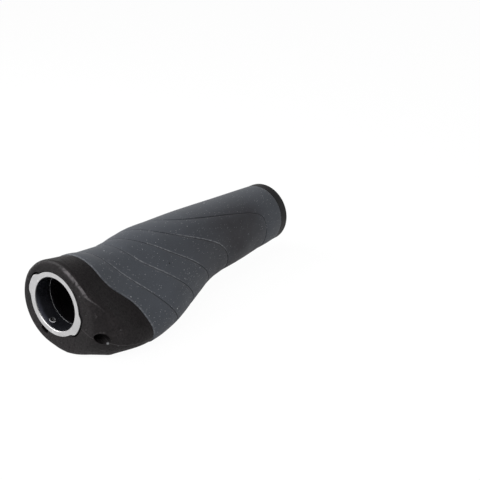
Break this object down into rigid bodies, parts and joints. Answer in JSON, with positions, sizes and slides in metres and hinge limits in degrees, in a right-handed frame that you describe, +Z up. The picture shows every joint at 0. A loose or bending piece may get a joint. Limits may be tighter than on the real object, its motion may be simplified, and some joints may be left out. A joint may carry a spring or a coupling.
{
  "type": "handlebar grip",
  "caption": "Ergonomic handlebar grip with a palm wing: grey rubber cover over a nylon sleeve, black end housing and clamp ring for a 22.2 mm bar.",
  "frame": {"origin": "under the middle of the grip's box, on the surface that it lies on", "axes": "+X along the bar axis from the clamp ring to the inner collar, +Z up, palm wing towards -Y and down"},
  "size_m": [0.137, 0.0494, 0.0375],
  "materials": {
    "sleeve_nylon": "glossy black moulded nylon",
    "housing_plastic": "satin black moulded plastic with a fine grain",
    "grip_rubber": "matte dark grey rubber with light and dark cork specks",
    "ring_aluminium": "fine turned face with a polished inner edge",
    "screw_steel": "zinc plated set screw"
  },
  "bodies": {
    "root": {"core_sleeve": "sleeve_nylon", "end_housing": "housing_plastic", "rubber_cover": "grip_rubber", "clamp_ring": "ring_aluminium", "clamp_screw": "screw_steel"}
  },
  "joints": []
}
